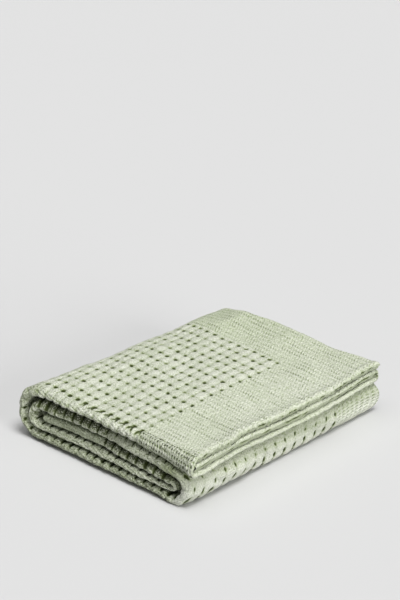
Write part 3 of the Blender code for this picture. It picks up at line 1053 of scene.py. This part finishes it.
def cotton_material():
    shader = Shader("sage_cotton", MATT)
    flat = shader.add("ShaderNodeUVMap", 0, {"uv_map": "weave"})
    across, along = (shader.add("ShaderNodeSeparateXYZ", axis, {}, {0: flat}) for axis in "XY")
    named = ({"attribute_name": label} for label in Marks._fields)
    marks = (shader.add("ShaderNodeAttribute", "Fac", settings) for settings in named)
    pit, crease, waffle, edge, nose, turned, under = marks
    place = shader.add("ShaderNodeTexCoord", "Object")
    patches = shader.noise(place, PATCHES_PER_M, 3.0)
    yarn = shader.noise(place, YARN_PER_M, 3.0)
    fuzz = shader.noise(place, FUZZ_PER_M, 2.0)
    fibres = shader.noise(place, FIBRES_PER_M, 1.0)
    thin = (0.5 - fibres).over(0.0)

    # ribs of the border, with small slanting slits in the grooves between them
    by_rib = across * (math.tau / RIB_ACROSS) + yarn * 0.9
    groove = by_rib.math("COSINE")
    dashes = (by_rib + along * (math.tau / GRAIN_ALONG)).math("COSINE")
    in_rows = {0: flat, 1: (1.0, SLIT_LENGTH, 1.0)}
    rows_place = shader.add("ShaderNodeVectorMath", 0, {"operation": "MULTIPLY"}, in_rows)
    bold = 0.4 + shader.noise(rows_place, SLITS_PER_M, 1.0).over(0.48) * 3.0
    slit = (groove * 0.55 + dashes * 0.55).over(0.25) * bold
    rim_groove = across.wave(0.5 * RIB_ACROSS)
    rim_dashes = along.wave(GRAIN_ALONG, yarn * 5.0)
    rim_slit = (rim_groove * 0.45 + rim_dashes * 0.45 + (yarn - 0.5) * 3.4).over(0.0)
    plain = 1.0 - waffle
    border = plain * (1.0 - turned)
    mark = edge * rim_slit * border
    slit = slit * border + mark * 1.1

    # on the lower round fold the border opens into a grid of small dots
    from_bottom = (along.over(LOW_FOLD[0]) * QUICK).up_to(1.0)
    from_top = ((LOW_FOLD[1] - along).over(0.0) * QUICK).up_to(1.0)
    cross = along.wave(GRAIN_ALONG, yarn * 2.0) * 0.5 + 0.5
    dots = (groove * 0.5 + 0.5) * cross * from_bottom * from_top
    slit = slit + dots * plain * (0.24 + yarn * 0.5)

    # pale pillows and a paler border near the free end, with deeper green wherever yarn is thin, and
    # painted shade in the creases, slits and dots, on the border near the side hem and further along, in
    # the rim's slits and on the turned hems
    tone = shader.mix(waffle, SAGE, PALE)
    pale = (0.84 - along * 1.7).math("MAXIMUM", 0.3) + from_bottom * from_top * 0.62
    tone = shader.mix(plain * pale, tone, PALE)
    tone = shader.mix(patches.over(0.42) * 1.4, tone, SAGE)
    # painted shade in the creases, the border's slits and the lower round fold's dots, and deeper green
    # where yarn is thin
    deep = (crease * crease) * 0.6 + slit * 1.1 + (0.5 - yarn).over(0.0) * 1.9 + thin * 2.4
    # painted shade on the top pass's border, darker near the side hem and further along
    border_shade = (SHADED_BORDER[0] - along).over(0.0).up_to(SHADED_BORDER[1]) * (1.0 / SHADED_BORDER[1])
    aside = (0.1 - across).over(0.0) * 1.1 + along.over(0.06) * 0.4
    tone = shader.mix(deep + aside * plain * border_shade, tone, SHADE_AND_THIN_YARN)
    # the darkest painted shade in the rim's slits
    tone = shader.mix(mark.over(0.5) * 2.6, tone, HOLLOW_SHADE)
    # painted shade on the turned hems, with their fibres
    tone = shader.mix(turned * (fibres.over(0.44) * 5.0 + 0.16), tone, SHADE_AND_THIN_YARN)

    # painted light on the lower round fold and the turned hems, painted shade on the letter fold's edges,
    # under the hems and in and round the pits, and fibres that stand out or leave gaps
    # painted light on the lower part of the lower round fold, and a little on the turned hems
    lit = ((LOW_FOLD_LIT - along).over(0.0) * QUICK).up_to(1.0) * from_bottom
    tone = shader.mix(turned * 0.14 + lit * 0.36, tone, LIGHT)
    tone = shader.mix(fibres.over(0.54) * (2.6 - plain * 1.6), tone, LIGHT)
    # painted shade on the letter fold's edges, under the turned hems and over the middle of the lower
    # round fold
    tone = shader.mix(nose * 0.42 + under * 0.3, tone, SHADE)
    # the darkest painted shadow under the edge near the floor, and gaps of thin yarn on the edges and the
    # rim
    tone = shader.mix(nose.over(1.2) * 0.3 + (nose + edge * 0.5) * thin * 4.0, tone, HOLLOW_SHADE)
    tone = shader.mix(fibres.over(0.55) * nose * 2.5, tone, PALE)
    # painted shade round the pits and in them
    tone = shader.mix(pit * 2.2 * (1.0 - nose.up_to(1.0) * 0.7), tone, PIT_HALO_SHADE)
    tone = shader.mix(pit.over(0.18) * 2.4, tone, PIT_SHADE)
    shader.give(shader.surface.inputs["Base Color"], tone)

    # relief of the yarns: those that run over the pillows, and the border's ribs and slits
    strands = (across * (math.tau / STRAND) + along * STRAND_SLANT + yarn * 5.0).math("SINE") * 0.5 + 0.5
    grain = (along * (math.tau / GRAIN_ALONG) + yarn * 2.0).math("SINE") * 0.5 + 0.5
    ribs = across.wave(RIB_ACROSS / 3.0, yarn * 2.0) * 0.5 + 0.5
    height = yarn * 1.5 + fuzz * 0.5 + strands * waffle * 0.45 - slit * 1.4
    height = height + border * (grain * 0.35 + ribs * 0.15)
    bumps = {"Strength": 0.9, "Distance": RELIEF, "Height": height}
    shader.give(shader.surface.inputs["Normal"], shader.add("ShaderNodeBump", "Normal", {}, bumps))
    return shader.material


# Each length starts on the row where the one before it ends.
Length = namedtuple("Length", "name end row_step outer_step")
LENGTHS = (
    Length("cloth_top", pass_end(0), 0.00161, FINE),
    Length("cloth_big_fold", pass_start(1), 0.0015, FINE),
    Length("cloth_bottom", pass_end(1), 0.0018, FINE),
    Length("cloth_low_fold", pass_start(2), 0.0015, FINE),
    Length("cloth_second", pass_end(2), 0.0018, COARSE),
    Length("cloth_core", CLOTH_ALONG, 0.0018, COARSE),
)
cotton = cotton_material()
start = -(math.pi * HEM_HALF + TURNED_UNDER)
for length in LENGTHS:
    end = length.end - HEM_HALF
    rows = spaced(start, ((end - start, length.row_step),))
    piece = cloth_length(length.name, columns_for(length.outer_step), rows)
    piece.data.materials.append(cotton)
    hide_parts("blanket")
    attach(piece, "root")
    end - start
    start = end

# ---- studio ----
# A pale floor under three large soft lights, one high on the right, one low on the right and one
# overhead, in an even pale surround.
FLOOR_SIZE = 12.0  # half the floor's width
FLOOR_FINISH = {"Base Color": (0.548, 0.548, 0.548, 1.0), "Roughness": 0.9}
floor_mesh = bpy.data.meshes.new("floor")
sheet = bmesh.new()
bmesh.ops.create_grid(sheet, x_segments=1, y_segments=1, size=FLOOR_SIZE)
sheet.to_mesh(floor_mesh)
sheet.free()
floor_mesh.materials.append(Shader("floor_paint", FLOOR_FINISH).material)
placed("floor", floor_mesh)

SURROUND = {"Color": (1.0, 1.0, 1.0, 1.0), "Strength": 0.12}
world = bpy.data.worlds.new("surround")
bpy.context.scene.world = world
world.use_nodes = True
for label, setting in SURROUND.items():
    world.node_tree.nodes["Background"].inputs[label].default_value = setting

Light = namedtuple("Light", "name from_x from_y from_z power spread")
LIGHTS = (
    Light("key", -0.06, -0.34, 0.939, 2.52, 26.0),
    Light("low", -0.02, -0.965, 0.26, 2.10, 30.0),
    Light("fill", -0.20, 0.05, 0.98, 1.12, 45.0),
)
for light in LIGHTS:
    lamp = bpy.data.lights.new(light.name, "SUN")
    lamp.energy = light.power
    lamp.angle = math.radians(light.spread)
    towards = Vector((light.from_x, light.from_y, light.from_z))
    placed(light.name, lamp).rotation_euler = towards.to_track_quat("Z", "Y").to_euler()

CAMERA_AZIMUTH = math.radians(44.803)
CAMERA_ELEVATION = math.radians(27.2516)
CAMERA_DISTANCE = 4.2
CAMERA_AIM = Vector((0.115, 0.1197, 0.1424))
CAMERA_LENS = 150.0
CAMERA_SENSOR = 36.0
CAMERA_REACH = 100.0
back = Vector((
    -math.cos(CAMERA_AZIMUTH) * math.cos(CAMERA_ELEVATION),
    -math.sin(CAMERA_AZIMUTH) * math.cos(CAMERA_ELEVATION),
    math.sin(CAMERA_ELEVATION),
))
right = Vector((math.sin(CAMERA_AZIMUTH), -math.cos(CAMERA_AZIMUTH), 0.0))
turned = Matrix((right, back.cross(right), back)).transposed().to_4x4()
lens = bpy.data.cameras.new("camera")
lens.lens = CAMERA_LENS
lens.sensor_width = CAMERA_SENSOR
lens.clip_end = CAMERA_REACH
camera = placed("camera", lens)
camera.matrix_world = Matrix.Translation(CAMERA_AIM + CAMERA_DISTANCE * back) @ turned
bpy.context.scene.camera = camera
bpy.context.scene.view_settings.view_transform = "Standard"
